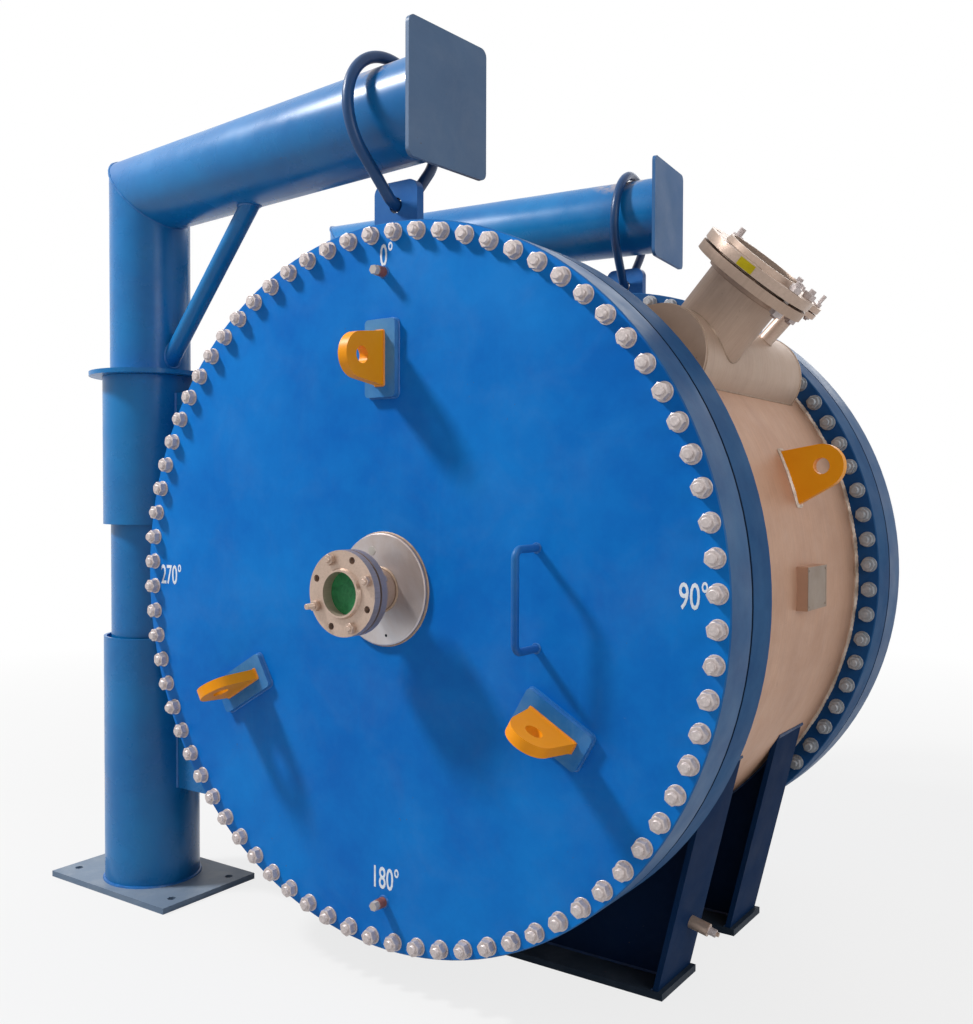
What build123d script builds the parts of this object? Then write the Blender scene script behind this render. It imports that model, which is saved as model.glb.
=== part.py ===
from build123d import *
import math
import os

# A horizontal spiral plate heat exchanger whose two flat covers hang from swinging davits.
# Millimetres. The origin is on the floor at the centre of the front saddle's foot. +X points to
# the side with the nozzle header in view, +Y from the front cover to the rear cover, +Z up.

# Vessel
AXIS_Z = 1113
MID_Y = 260
SHELL_RADIUS = 925
SHELL_WALL = 12
RIM_RADIUS = 1000
COVER_THICKNESS = 128
FLANGE_THICKNESS = 128
JOINT_GAP = 5
HALF_LENGTH = 753
EDGE_CHAMFER = 3

# Gasket ring in each cover joint
GASKET_THICKNESS = 4
GASKET_INNER_RADIUS = 900
GASKET_OUTER_RADIUS = 940

# Two strips wound into one spiral body, drawn as half circles about two centres
CHANNEL_GAP = 39
STRIP_THICKNESS = 6
HALF_TURNS = 17
LAST_CHANNEL_RADIUS = 837
CORE_RADIUS = 125
CHANNEL_END_WALL = 12
CORE_PLATE = 10
BODY_END_SETBACK = 4

# Header boxes along the shell, and the nozzles on them
HEADER_RADIUS = 136.5
HEADER_WALL = 9.3
HEADER_END_PLATE = 12
HEADER_CENTRE_REACH = 902
HEADER_ANGLE = 45
HEADER_FRONT = -372
HEADER_REAR = 404
HEADER_NOZZLE_OFFSET = -185
HEADER_NOZZLE_LEAN = 3
HEADER_JOINT_REACH = 1200
VENT_OFFSET = 180
VENT_JOINT_REACH = 1190
GASKET_SHEET = 3

# Centre nozzle of each cover
PAD_RADIUS = 154
PAD_THICKNESS = 14
COVER_JOINT_REACH = 144

# Lifting lugs, each tapered to a round end about its shackle hole
LUG_THICKNESS = 30
LUG_END_RADIUS = 62
LUG_HOLE_RADIUS = 23
COVER_LUG_WIDTH = 148
COVER_LUG_HOLE_REACH = 88
LUG_CIRCLE_RADIUS = 630
LUG_PAD_WIDTH = 106
LUG_PAD_LENGTH = 212
LUG_PAD_THICKNESS = 18
LUG_PAD_CORNER = 12
SHELL_LUG_WIDTH = 160
SHELL_LUG_HOLE_REACH = 98
SHELL_LUG_BURIED = 30
SHELL_LUG_ANGLE = 70.4
SHELL_LUG_Y = 275

# Grip and tapped stubs on each cover
GRIP_X = 493
GRIP_LOW_Z = 991
GRIP_HIGH_Z = 1241
GRIP_STAND_OFF = 98
GRIP_BAR_RADIUS = 10
GRIP_BEND = 24
STUB_CIRCLE_RADIUS = 866
STUB_RADIUS = 14
STUB_LENGTH = 30
PLUG_HEX_RADIUS = 13
PLUG_LENGTH = 16

# Saddles
SADDLE_PLATE = 16
FOOT_PLATE = 20
FOOT_HALF_LENGTH = 662
FOOT_HALF_WIDTH = 113
SIDE_HALF_WIDTH = 108
SIDE_FOOT_X = 647
SIDE_LEAN = 0.24
SADDLE_TOP_Z = 650
BOSS_RADIUS = 18
BOSS_LENGTH = 56
BOSS_Y = 20
BOSS_Z = 182
EARTH_STUD_RADIUS = 6
EARTH_STUD_LENGTH = 30

# Nameplate bracket on the shell
BRACKET_FRONT_Y = 178
BRACKET_REAR_Y = 346
BRACKET_LOW_Z = 1053
BRACKET_HIGH_Z = 1175
BRACKET_STAND_OFF = 30

# Davits: the post and arm are one mitred pipe that turns in two sleeves
POST_X = -1232
POST_SETBACK = 563
ARM_SETBACK = 677
ARM_Z = 2425
POST_RADIUS = 136.5
POST_WALL = 9.3
POST_FOOT_Z = 40
ARM_OVERHANG = 165
END_PLATE_WIDTH = 310
END_PLATE_HEIGHT = 362
END_PLATE_THICKNESS = 12
END_PLATE_CORNER = 22
SLEEVE_RADIUS = 162
SLEEVE_WALL = 9.5
LOWER_SLEEVE_TOP = 876
UPPER_SLEEVE_BOTTOM = 1267
UPPER_SLEEVE_TOP = 1780
COLLAR_RADIUS = 207
COLLAR_THICKNESS = 15
COLLAR_CLEARANCE = 1
BRACE_RADIUS = 30.15
BRACE_WALL = 4
BRACE_FOOT = (137, 1851)
BRACE_HEAD = (562, 2292)
BASE_LENGTH = 610
BASE_WIDTH = 400
BASE_HOLE_SPACING_X = 510
BASE_HOLE_SPACING_Y = 250
BASE_HOLE_RADIUS = 13.5
TIE_PLATE = 25
TIE_SETBACK = 572
LOWER_TIE = (355, 800)
UPPER_TIE = (1330, 1720)

# Hanger of each cover: an eye plate on the rim and a bent bar round the arm
EYE_WIDTH = 152
EYE_THICKNESS = 28
EYE_TOP_Z = 2236
EYE_CORNER = 30
EYE_HOLE_RADIUS = 22
EYE_HOLE_Z = 2171
LOOP_BAR_RADIUS = 16
LOOP_Y_SETBACK = 686
LOOP_CROWN_RADIUS = 176
LOOP_CROWN_HEIGHT = 237
LOOP_FOOT_RADIUS = 56
LOOP_FOOT_Z = 2171
FRONT_LOOP_TURN = (4, -5)
REAR_LOOP_TURN = (8, 4)

MIN_Z = (Align.CENTER, Align.CENTER, Align.MIN)
MIRROR_PLANE = Plane.XZ.offset(-MID_Y)
FRONT_FACE_Y = MID_Y - HALF_LENGTH
COVER_MID_Y = FRONT_FACE_Y + COVER_THICKNESS / 2
FLANGE_FACE_Y = FRONT_FACE_Y + COVER_THICKNESS + JOINT_GAP


class PipeFlange:
    """Sizes of one slip-on flange and the pipe it takes."""

    def __init__(self, diameter, thickness, hub_diameter, length, raised, circle, holes, hole, pipe, wall):
        self.radius = diameter / 2
        self.thickness = thickness
        self.hub_radius = hub_diameter / 2
        self.length = length
        self.raised_radius = raised / 2
        self.circle_radius = circle / 2
        self.holes = holes
        self.hole_radius = hole / 2
        self.pipe_radius = pipe / 2
        self.pipe_wall = wall


FOUR_INCH = PipeFlange(228.6, 23.9, 134.9, 33.3, 157.2, 190.5, 8, 19.05, 114.3, 6.0)
EIGHT_INCH = PipeFlange(342.9, 28.6, 246.1, 44.5, 269.9, 298.5, 8, 22.2, 219.1, 8.2)
VENT_SIZE = PipeFlange(127.0, 17.5, 65.0, 22.2, 73.2, 98.4, 4, 15.9, 48.3, 3.7)
SOCKET_CLEARANCE = 0.9
RAISED_FACE = 2
HUB_TAPER = 4


def drum(radius, low_y, high_y):
    """Cylinder on the vessel's axis between two Y values."""
    return Pos(0, low_y, AXIS_Z) * Rot(-90, 0, 0) * Cylinder(radius, high_y - low_y, align=MIN_Z)


def pipe(outer_radius, wall, low_z, high_z):
    """Open pipe along the local Z axis."""
    length = high_z - low_z
    outer = Cylinder(outer_radius, length, align=MIN_Z)
    bore = Cylinder(outer_radius - wall, length, align=MIN_Z)
    return Pos(0, 0, low_z) * (outer - bore)


def radial_station(angle, y):
    """Frame on the vessel's axis whose Z points out at an angle from the vertical."""
    return Pos(0, y, AXIS_Z) * Rot(0, angle, 0)


def cover_station(angle, radius):
    """Frame on the front cover's face: Z out of the face, Y away from the vessel's axis."""
    return Pos(0, FRONT_FACE_Y, AXIS_Z) * Rot(0, angle, 0) * Pos(0, 0, radius) * Rot(90, 0, 0)


def to_rear(piece):
    """Mirror image of a front piece at the rear end."""
    return mirror(piece, about=MIRROR_PLANE)


def both_ends(piece):
    """A front piece and its mirror image, as separate solids."""
    return [piece, to_rear(piece)]


def half_turn(piece):
    """A piece turned half round the vessel's vertical centre line."""
    return Pos(0, MID_Y, 0) * Rot(0, 0, 180) * Pos(0, -MID_Y, 0) * piece


# Pipe flanges


def flange_body(size, bore_radius):
    """Slip-on flange with its raised face at z = 0 and its hub below."""
    rim_bottom = -size.thickness
    points = [
        (bore_radius, 0),
        (size.raised_radius, 0),
        (size.raised_radius, -RAISED_FACE),
        (size.radius, -RAISED_FACE),
        (size.radius, rim_bottom),
        (size.hub_radius, rim_bottom),
        (size.hub_radius - HUB_TAPER, -size.length),
        (bore_radius, -size.length),
    ]
    profile = make_face(Plane.XZ * Polyline(*points, close=True))
    body = revolve(profile, Axis.Z)
    return body - bolt_holes(size)


def bolt_holes(size):
    """Bolt holes of a flange, straddling the local X and Y axes."""
    drill = Cylinder(size.hole_radius, 3 * size.length)
    first = 180 / size.holes
    step = 360 / size.holes
    return [Rot(0, 0, first + step * k) * Pos(size.circle_radius, 0, 0) * drill for k in range(size.holes)]


def fixed_nozzle(size, root_z, joint_z):
    """Pipe with a welded flange, whose joint face is at joint_z."""
    neck = pipe(size.pipe_radius, size.pipe_wall, root_z, joint_z - RAISED_FACE)
    return neck + Pos(0, 0, joint_z) * flange_body(size, size.pipe_radius)


def companion(size, joint_z):
    """Loose flange whose raised face looks down on the joint, with a socket for the outer pipe."""
    bore_radius = size.pipe_radius + SOCKET_CLEARANCE
    return Pos(0, 0, joint_z + GASKET_SHEET) * Rot(180, 0, 0) * flange_body(size, bore_radius)


def blank(size, joint_z):
    """Sheet clamped between two raised faces, which closes the bore."""
    return Pos(0, 0, joint_z) * Cylinder(size.raised_radius, GASKET_SHEET, align=MIN_Z)


# Vessel body


def make_shell():
    inner = SHELL_RADIUS - SHELL_WALL
    rear_face_y = 2 * MID_Y - FLANGE_FACE_Y
    return drum(SHELL_RADIUS, FLANGE_FACE_Y, rear_face_y) - drum(inner, FLANGE_FACE_Y, rear_face_y)


def make_body_flange():
    back_y = FLANGE_FACE_Y + FLANGE_THICKNESS
    ring = drum(RIM_RADIUS, FLANGE_FACE_Y, back_y)
    rim_edges = ring.edges().filter_by(GeomType.CIRCLE)
    ring = chamfer(rim_edges, EDGE_CHAMFER)
    return ring - drum(SHELL_RADIUS, FLANGE_FACE_Y, back_y)


def make_gasket():
    low_y = FLANGE_FACE_Y - GASKET_THICKNESS
    return drum(GASKET_OUTER_RADIUS, low_y, FLANGE_FACE_Y) - drum(GASKET_INNER_RADIUS, low_y, FLANGE_FACE_Y)


def channel_profile(first_half_turn):
    """One spiral channel as a face, from half rings about two centres."""
    pitch = CHANNEL_GAP + STRIP_THICKNESS
    first_radius = LAST_CHANNEL_RADIUS - (HALF_TURNS - 1) * pitch
    inner_arcs = []
    outer_arcs = []
    for k in range(HALF_TURNS):
        upper = (k + first_half_turn) % 2 == 0
        centre_x = -pitch / 2 if upper else pitch / 2
        start = 0 if upper else 180
        radius = first_radius + k * pitch
        inner_arcs.append(CenterArc((centre_x, 0), radius, start, 180))
        outer_arcs.append(CenterArc((centre_x, 0), radius + CHANNEL_GAP, start, 180))
    root = Line(inner_arcs[0] @ 0, outer_arcs[0] @ 0)
    tip = Line(inner_arcs[-1] @ 1, outer_arcs[-1] @ 1)
    return make_face(inner_arcs + outer_arcs + [root, tip])


def make_spiral_plates():
    """Wound strips: one channel opens at the front and the other at the rear."""
    front_y = FLANGE_FACE_Y + BODY_END_SETBACK
    rear_y = 2 * MID_Y - front_y
    channel_length = rear_y - front_y - CHANNEL_END_WALL
    body = drum(SHELL_RADIUS - SHELL_WALL, front_y, rear_y) - drum(CORE_RADIUS, front_y, rear_y)
    front_plane = Plane((0, front_y, AXIS_Z), x_dir=(1, 0, 0), z_dir=(0, 1, 0))
    rear_plane = Plane((0, rear_y - channel_length, AXIS_Z), x_dir=(1, 0, 0), z_dir=(0, 1, 0))
    front_channel = extrude(front_plane * channel_profile(0), channel_length)
    rear_channel = extrude(rear_plane * channel_profile(1), channel_length)
    return body - front_channel - rear_channel


def make_core_divider():
    """Plate that parts the centre tube, with a half disc at each end to close the other channel."""
    front_y = FLANGE_FACE_Y + BODY_END_SETBACK
    rear_y = 2 * MID_Y - front_y
    length = rear_y - front_y
    middle = Pos(0, MID_Y, AXIS_Z) * Box(CORE_PLATE, length, 2 * CORE_RADIUS)
    left_side = Pos(-CORE_RADIUS, MID_Y, AXIS_Z) * Box(2 * CORE_RADIUS, length, 2 * CORE_RADIUS)
    front_disc = drum(CORE_RADIUS, front_y, front_y + CORE_PLATE) & left_side
    rear_disc = half_turn(front_disc)
    core = drum(CORE_RADIUS, front_y, rear_y)
    return (middle & core) + front_disc + rear_disc


# Headers and their nozzles


def header_bar(radius, trim):
    """Bar along a header's centre line, shorter at each end by the trim."""
    low_y = MID_Y + HEADER_FRONT + trim
    length = HEADER_REAR - HEADER_FRONT - 2 * trim
    bar = Rot(-90, 0, 0) * Cylinder(radius, length, align=MIN_Z)
    return radial_station(HEADER_ANGLE, low_y) * Pos(0, 0, HEADER_CENTRE_REACH) * bar


def nozzle_bore(size):
    """Drill through the outer side of a header, along Z from the vessel's axis."""
    drill = Cylinder(size.pipe_radius - size.pipe_wall, 2 * HEADER_RADIUS, align=MIN_Z)
    return Pos(0, 0, HEADER_CENTRE_REACH) * drill


def make_header():
    """Hollow box along the shell: part of a pipe with flat ends, open under its nozzles."""
    box = header_bar(HEADER_RADIUS, 0) - header_bar(HEADER_RADIUS - HEADER_WALL, HEADER_END_PLATE)
    box -= drum(SHELL_RADIUS, MID_Y + HEADER_FRONT, MID_Y + HEADER_REAR)
    return box - at_nozzle(nozzle_bore(EIGHT_INCH)) - at_vent(nozzle_bore(VENT_SIZE))


def at_nozzle(piece):
    """A piece drawn along Z from the vessel's axis, at the nozzle that leans towards the vertical."""
    lean = Pos(0, 0, HEADER_CENTRE_REACH) * Rot(0, -HEADER_NOZZLE_LEAN, 0) * Pos(0, 0, -HEADER_CENTRE_REACH)
    return radial_station(HEADER_ANGLE, MID_Y + HEADER_NOZZLE_OFFSET) * lean * piece


def at_vent(piece):
    """A piece drawn along Z from the vessel's axis, at the vent on the header."""
    return radial_station(HEADER_ANGLE, MID_Y + VENT_OFFSET) * piece


def make_header_nozzle():
    nozzle = at_nozzle(fixed_nozzle(EIGHT_INCH, HEADER_CENTRE_REACH, HEADER_JOINT_REACH))
    return nozzle - header_bar(HEADER_RADIUS, 0)


def make_vent_nozzle():
    nozzle = at_vent(fixed_nozzle(VENT_SIZE, HEADER_CENTRE_REACH, VENT_JOINT_REACH))
    return nozzle - header_bar(HEADER_RADIUS, 0)


def make_vent_blind():
    """Blind flange that closes the vent, seated on its raised face."""
    disc = Cylinder(VENT_SIZE.radius, VENT_SIZE.thickness, align=MIN_Z)
    raised = Cylinder(VENT_SIZE.raised_radius, RAISED_FACE, align=MIN_Z)
    plate = Pos(0, 0, RAISED_FACE) * disc + raised
    plate = plate - bolt_holes(VENT_SIZE)
    return at_vent(Pos(0, 0, VENT_JOINT_REACH) * plate)


# Lugs, grip, stubs and nameplate bracket


def lug_plate(width, hole_reach, buried=0):
    """Plate normal to X, rising along Z, whose sides run from its foot to its round end."""
    end = Pos(0, hole_reach) * Circle(LUG_END_RADIUS)
    foot = Line((-width / 2, 0), (width / 2, 0))
    outline = make_hull(foot.edges() + end.edges())
    if buried:
        outline += Pos(0, -buried / 2) * Rectangle(width, buried)
    outline -= Pos(0, hole_reach) * Circle(LUG_HOLE_RADIUS)
    return extrude(Plane.YZ.offset(-LUG_THICKNESS / 2) * outline, LUG_THICKNESS)


def make_shell_lug(angle):
    plate = Rot(0, 0, 90) * lug_plate(SHELL_LUG_WIDTH, SHELL_LUG_HOLE_REACH, SHELL_LUG_BURIED)
    plate = radial_station(angle, SHELL_LUG_Y) * Pos(0, 0, SHELL_RADIUS) * plate
    return plate - drum(SHELL_RADIUS, SHELL_LUG_Y - LUG_THICKNESS, SHELL_LUG_Y + LUG_THICKNESS)


def at_lugs(piece):
    """A piece repeated at the three lug stations of a cover."""
    return [cover_station(angle, LUG_CIRCLE_RADIUS) * piece for angle in (0, 120, 240)]


def make_lug_pads():
    outline = RectangleRounded(LUG_PAD_WIDTH, LUG_PAD_LENGTH, LUG_PAD_CORNER)
    return at_lugs(extrude(outline, LUG_PAD_THICKNESS))


def make_cover_lugs():
    return at_lugs(Pos(0, 0, LUG_PAD_THICKNESS) * lug_plate(COVER_LUG_WIDTH, COVER_LUG_HOLE_REACH))


def make_cover_handle():
    out_y = FRONT_FACE_Y - GRIP_STAND_OFF
    route = FilletPolyline(
        (GRIP_X, FRONT_FACE_Y, GRIP_HIGH_Z),
        (GRIP_X, out_y, GRIP_HIGH_Z),
        (GRIP_X, out_y, GRIP_LOW_Z),
        (GRIP_X, FRONT_FACE_Y, GRIP_LOW_Z),
        radius=GRIP_BEND,
    )
    return sweep(Plane(route @ 0, z_dir=(0, -1, 0)) * Circle(GRIP_BAR_RADIUS), path=route)


def make_cover_stubs():
    stub = Cylinder(STUB_RADIUS, STUB_LENGTH, align=MIN_Z)
    plug = Pos(0, 0, STUB_LENGTH) * extrude(RegularPolygon(PLUG_HEX_RADIUS, 6), PLUG_LENGTH)
    return [cover_station(angle, STUB_CIRCLE_RADIUS) * (stub + plug) for angle in (0, 180)]


def make_nameplate_bracket():
    depth = 2 * BRACKET_STAND_OFF
    centre = Pos(SHELL_RADIUS, (BRACKET_FRONT_Y + BRACKET_REAR_Y) / 2, (BRACKET_LOW_Z + BRACKET_HIGH_Z) / 2)
    block = centre * Box(depth, BRACKET_REAR_Y - BRACKET_FRONT_Y, BRACKET_HIGH_Z - BRACKET_LOW_Z)
    return block - drum(SHELL_RADIUS, BRACKET_FRONT_Y, BRACKET_REAR_Y)


# Saddles


def side_x(z):
    """Outer face of a saddle's leaning side plate at a height."""
    return SIDE_FOOT_X + SIDE_LEAN * (z - FOOT_PLATE)


def saddle_slab(points, half_width):
    """Plate parallel to the covers, cut to sit round the shell."""
    face = make_face(Plane.XZ.offset(-half_width) * Polyline(*points, close=True))
    slab = extrude(face, 2 * half_width)
    return slab - drum(SHELL_RADIUS, -half_width, half_width)


def make_saddle_foot():
    return Box(2 * FOOT_HALF_LENGTH, 2 * FOOT_HALF_WIDTH, FOOT_PLATE, align=MIN_Z)


def make_saddle_web():
    low = side_x(FOOT_PLATE) - SADDLE_PLATE
    high = side_x(SADDLE_TOP_Z) - SADDLE_PLATE
    points = [(-low, FOOT_PLATE), (low, FOOT_PLATE), (high, SADDLE_TOP_Z), (-high, SADDLE_TOP_Z)]
    return saddle_slab(points, SADDLE_PLATE / 2)


def make_saddle_sides():
    low = side_x(FOOT_PLATE)
    high = side_x(SADDLE_TOP_Z)
    points = [
        (low - SADDLE_PLATE, FOOT_PLATE),
        (low, FOOT_PLATE),
        (high, SADDLE_TOP_Z),
        (high - SADDLE_PLATE, SADDLE_TOP_Z),
    ]
    right = saddle_slab(points, SIDE_HALF_WIDTH)
    return [right, mirror(right, about=Plane.YZ)]


def make_earthing_boss():
    """Boss square to the front saddle's leaning side plate, with a stud for the earth wire."""
    lean = math.degrees(math.atan(SIDE_LEAN))
    boss = Cylinder(BOSS_RADIUS, BOSS_LENGTH, align=MIN_Z)
    stud = Pos(0, 0, BOSS_LENGTH) * Cylinder(EARTH_STUD_RADIUS, EARTH_STUD_LENGTH, align=MIN_Z)
    return Pos(side_x(BOSS_Z), BOSS_Y, BOSS_Z) * Rot(0, 90 + lean, 0) * (boss + stud)


# Davits


def front_post_y():
    return MID_Y - POST_SETBACK


def arm_yaw():
    """Angle of the front arm from +X, seen from above."""
    return math.degrees(math.atan2(POST_SETBACK - ARM_SETBACK, -POST_X))


def arm_length():
    """From the post's axis to the arm's open end."""
    return math.hypot(POST_X, ARM_SETBACK - POST_SETBACK) + ARM_OVERHANG


def davit_frame():
    """Frame on the floor at the front post's axis, with X along the arm."""
    return Pos(POST_X, front_post_y(), 0) * Rot(0, 0, arm_yaw())


def mitred_bar(radius):
    """Round bar up the post and along the arm, mitred where they meet."""
    route = Polyline((0, 0, POST_FOOT_Z), (0, 0, ARM_Z), (arm_length(), 0, ARM_Z))
    start = Plane((0, 0, POST_FOOT_Z))
    return sweep(start * Circle(radius), path=route, transition=Transition.RIGHT)


def make_davit_post():
    tube = mitred_bar(POST_RADIUS) - mitred_bar(POST_RADIUS - POST_WALL)
    return davit_frame() * tube


def make_davit_collar():
    bottom = UPPER_SLEEVE_TOP + COLLAR_CLEARANCE
    return davit_frame() * pipe(COLLAR_RADIUS, COLLAR_RADIUS - POST_RADIUS, bottom, bottom + COLLAR_THICKNESS)


def make_davit_brace():
    run = BRACE_HEAD[0] - BRACE_FOOT[0]
    rise = BRACE_HEAD[1] - BRACE_FOOT[1]
    length = math.hypot(run, rise)
    lean = math.degrees(math.atan2(run, rise))
    extra = POST_RADIUS / 2
    bar = Rot(0, lean, 0) * pipe(BRACE_RADIUS, BRACE_WALL, -extra, length + extra)
    return davit_frame() * (Pos(BRACE_FOOT[0], 0, BRACE_FOOT[1]) * bar - mitred_bar(POST_RADIUS))


def make_end_plate():
    outline = RectangleRounded(END_PLATE_WIDTH, END_PLATE_HEIGHT, END_PLATE_CORNER)
    plate = Pos(arm_length(), 0, ARM_Z) * (Plane.YZ * extrude(outline, END_PLATE_THICKNESS))
    return davit_frame() * plate


def make_base_plate():
    plate = Box(BASE_LENGTH, BASE_WIDTH, FOOT_PLATE, align=MIN_Z)
    drill = Cylinder(BASE_HOLE_RADIUS, 3 * FOOT_PLATE)
    for x in (-BASE_HOLE_SPACING_X / 2, BASE_HOLE_SPACING_X / 2):
        for y in (-BASE_HOLE_SPACING_Y / 2, BASE_HOLE_SPACING_Y / 2):
            plate -= Pos(x, y, 0) * drill
    return Pos(POST_X, front_post_y(), 0) * plate


def make_sleeve(low_z, high_z):
    return davit_frame() * pipe(SLEEVE_RADIUS, SLEEVE_WALL, low_z, high_z)


def make_sleeve_tie(heights):
    """Plate from a sleeve to the body flange, shaped to both."""
    low_z, high_z = heights
    tie_y = MID_Y - TIE_SETBACK
    half_run = -POST_X / 4
    block = Pos(POST_X + half_run, tie_y, (low_z + high_z) / 2) * Box(2 * half_run, TIE_PLATE, high_z - low_z)
    sleeve = Pos(POST_X, front_post_y(), 0) * Cylinder(SLEEVE_RADIUS, 2 * ARM_Z)
    return block - sleeve - drum(RIM_RADIUS, FRONT_FACE_Y, MID_Y)


# Covers and their hangers


def make_cover():
    back_y = FRONT_FACE_Y + COVER_THICKNESS
    disc = drum(RIM_RADIUS, FRONT_FACE_Y, back_y)
    disc = chamfer(disc.edges().filter_by(GeomType.CIRCLE), EDGE_CHAMFER)
    return disc - drum(FOUR_INCH.pipe_radius, FRONT_FACE_Y, back_y)


def make_cover_nozzle():
    """Stainless pad, pipe and flange on the cover's centre."""
    pad = pipe(PAD_RADIUS, PAD_RADIUS - FOUR_INCH.pipe_radius, 0, PAD_THICKNESS)
    pad = chamfer(pad.edges().filter_by(GeomType.CIRCLE).sort_by(SortBy.RADIUS)[-2:], EDGE_CHAMFER)
    nozzle = fixed_nozzle(FOUR_INCH, -COVER_THICKNESS, COVER_JOINT_REACH)
    return cover_station(0, 0) * (pad + nozzle)


def make_cover_eye():
    low_z = AXIS_Z + RIM_RADIUS - EYE_CORNER
    outline = Pos(0, (low_z + EYE_TOP_Z) / 2) * Rectangle(EYE_WIDTH, EYE_TOP_Z - low_z)
    outline = fillet(outline.vertices().group_by(Axis.Y)[-1], EYE_CORNER)
    outline -= Pos(0, EYE_HOLE_Z) * Circle(EYE_HOLE_RADIUS)
    plate = extrude(Plane.XZ.offset(-COVER_MID_Y - EYE_THICKNESS / 2) * outline, EYE_THICKNESS)
    return plate - drum(RIM_RADIUS, COVER_MID_Y - EYE_THICKNESS, COVER_MID_Y + EYE_THICKNESS)


def make_hanger_loop(turn):
    """Round bar bent to a teardrop, wide round the arm and narrow through the eye, that has
    turned about the vertical and leant over along the arm by the two angles of its turn."""
    yaw, lean = turn
    drop = LOOP_CROWN_HEIGHT - LOOP_FOOT_RADIUS
    slope = math.degrees(math.asin((LOOP_CROWN_RADIUS - LOOP_FOOT_RADIUS) / drop))
    crown = CenterArc((0, LOOP_CROWN_HEIGHT), LOOP_CROWN_RADIUS, -slope, 180 + 2 * slope)
    foot = CenterArc((0, LOOP_FOOT_RADIUS), LOOP_FOOT_RADIUS, 180 + slope, 180 - 2 * slope)
    left_leg = Line(crown @ 1, foot @ 0)
    right_leg = Line(foot @ 1, crown @ 0)
    route = Plane.YZ * Wire([crown, left_leg, foot, right_leg])
    section = Plane(route @ 0, z_dir=route % 0) * Circle(LOOP_BAR_RADIUS)
    loop = sweep(section, path=route)
    return Pos(0, MID_Y - LOOP_Y_SETBACK, LOOP_FOOT_Z) * Rot(0, lean, 0) * Rot(0, 0, -yaw) * loop


def build_nodes():
    """All solids, by node name."""
    nodes = {
        "shell": [make_shell()],
        "front_body_flange": [make_body_flange()],
        "rear_body_flange": [to_rear(make_body_flange())],
        "joint_gaskets": both_ends(make_gasket()),
        "spiral_plates": [make_spiral_plates()],
        "core_divider": [make_core_divider()],
        "right_header": [make_header()],
        "left_header": [half_turn(make_header())],
        "shell_lugs": [make_shell_lug(SHELL_LUG_ANGLE), make_shell_lug(-SHELL_LUG_ANGLE)],
        "nameplate_bracket": [make_nameplate_bracket()],
        "saddle_bases": both_ends(make_saddle_foot()),
        "saddle_webs": both_ends(make_saddle_web()),
        "earthing_boss": [make_earthing_boss()],
        "davit_base_plates": both_ends(make_base_plate()),
    }
    sides = make_saddle_sides()
    nodes["saddle_side_plates"] = sides + [to_rear(side) for side in sides]
    sleeves = [make_sleeve(FOOT_PLATE, LOWER_SLEEVE_TOP), make_sleeve(UPPER_SLEEVE_BOTTOM, UPPER_SLEEVE_TOP)]
    nodes["davit_sleeves"] = sleeves + [to_rear(sleeve) for sleeve in sleeves]
    ties = [make_sleeve_tie(LOWER_TIE), make_sleeve_tie(UPPER_TIE)]
    nodes["sleeve_brackets"] = ties + [to_rear(tie) for tie in ties]
    header_pieces = {
        "header_nozzles": make_header_nozzle(),
        "header_companion_flanges": at_nozzle(companion(EIGHT_INCH, HEADER_JOINT_REACH)),
        "header_blanks": at_nozzle(blank(EIGHT_INCH, HEADER_JOINT_REACH)),
        "vent_nozzles": make_vent_nozzle(),
        "vent_blind_flanges": make_vent_blind(),
    }
    for name, piece in header_pieces.items():
        nodes[name] = [piece, half_turn(piece)]
    end_pieces = {
        "davit_post": [make_davit_post()],
        "davit_collar": [make_davit_collar()],
        "davit_brace": [make_davit_brace()],
        "arm_end_plate": [make_end_plate()],
        "cover": [make_cover()],
        "cover_eye": [make_cover_eye()],
        "nozzle": [make_cover_nozzle()],
        "companion_flange": [cover_station(0, 0) * companion(FOUR_INCH, COVER_JOINT_REACH)],
        "blank": [cover_station(0, 0) * blank(FOUR_INCH, COVER_JOINT_REACH)],
        "lug_pads": make_lug_pads(),
        "cover_lugs": make_cover_lugs(),
        "cover_handle": [make_cover_handle()],
        "cover_stubs": make_cover_stubs(),
    }
    for name, pieces in end_pieces.items():
        nodes["front_" + name] = pieces
        nodes["rear_" + name] = [to_rear(piece) for piece in pieces]
    nodes["front_hanger_loop"] = [make_hanger_loop(FRONT_LOOP_TURN)]
    nodes["rear_hanger_loop"] = [to_rear(make_hanger_loop(REAR_LOOP_TURN))]
    return nodes


def main():
    os.makedirs("parts", exist_ok=True)
    for name, pieces in build_nodes().items():
        solids = [solid for piece in pieces for solid in piece.solids()]
        shape = solids[0] if len(solids) == 1 else Compound(children=solids)
        export_step(shape, "parts/" + name + ".step")


main()
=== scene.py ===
import math
import random

import bmesh
import bpy
from mathutils import Matrix, Vector


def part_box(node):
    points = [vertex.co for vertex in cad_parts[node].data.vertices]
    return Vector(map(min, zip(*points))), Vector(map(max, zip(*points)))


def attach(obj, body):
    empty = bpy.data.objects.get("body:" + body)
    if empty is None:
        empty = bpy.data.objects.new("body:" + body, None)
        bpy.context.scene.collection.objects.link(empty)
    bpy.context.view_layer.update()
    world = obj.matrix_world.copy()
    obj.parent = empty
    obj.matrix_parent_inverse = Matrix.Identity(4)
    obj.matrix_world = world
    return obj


# A spiral plate heat exchanger with painted covers and davits and a stainless shell.
# Metres. The origin is under the front saddle, +Y runs from the front cover to the rear one.

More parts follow.
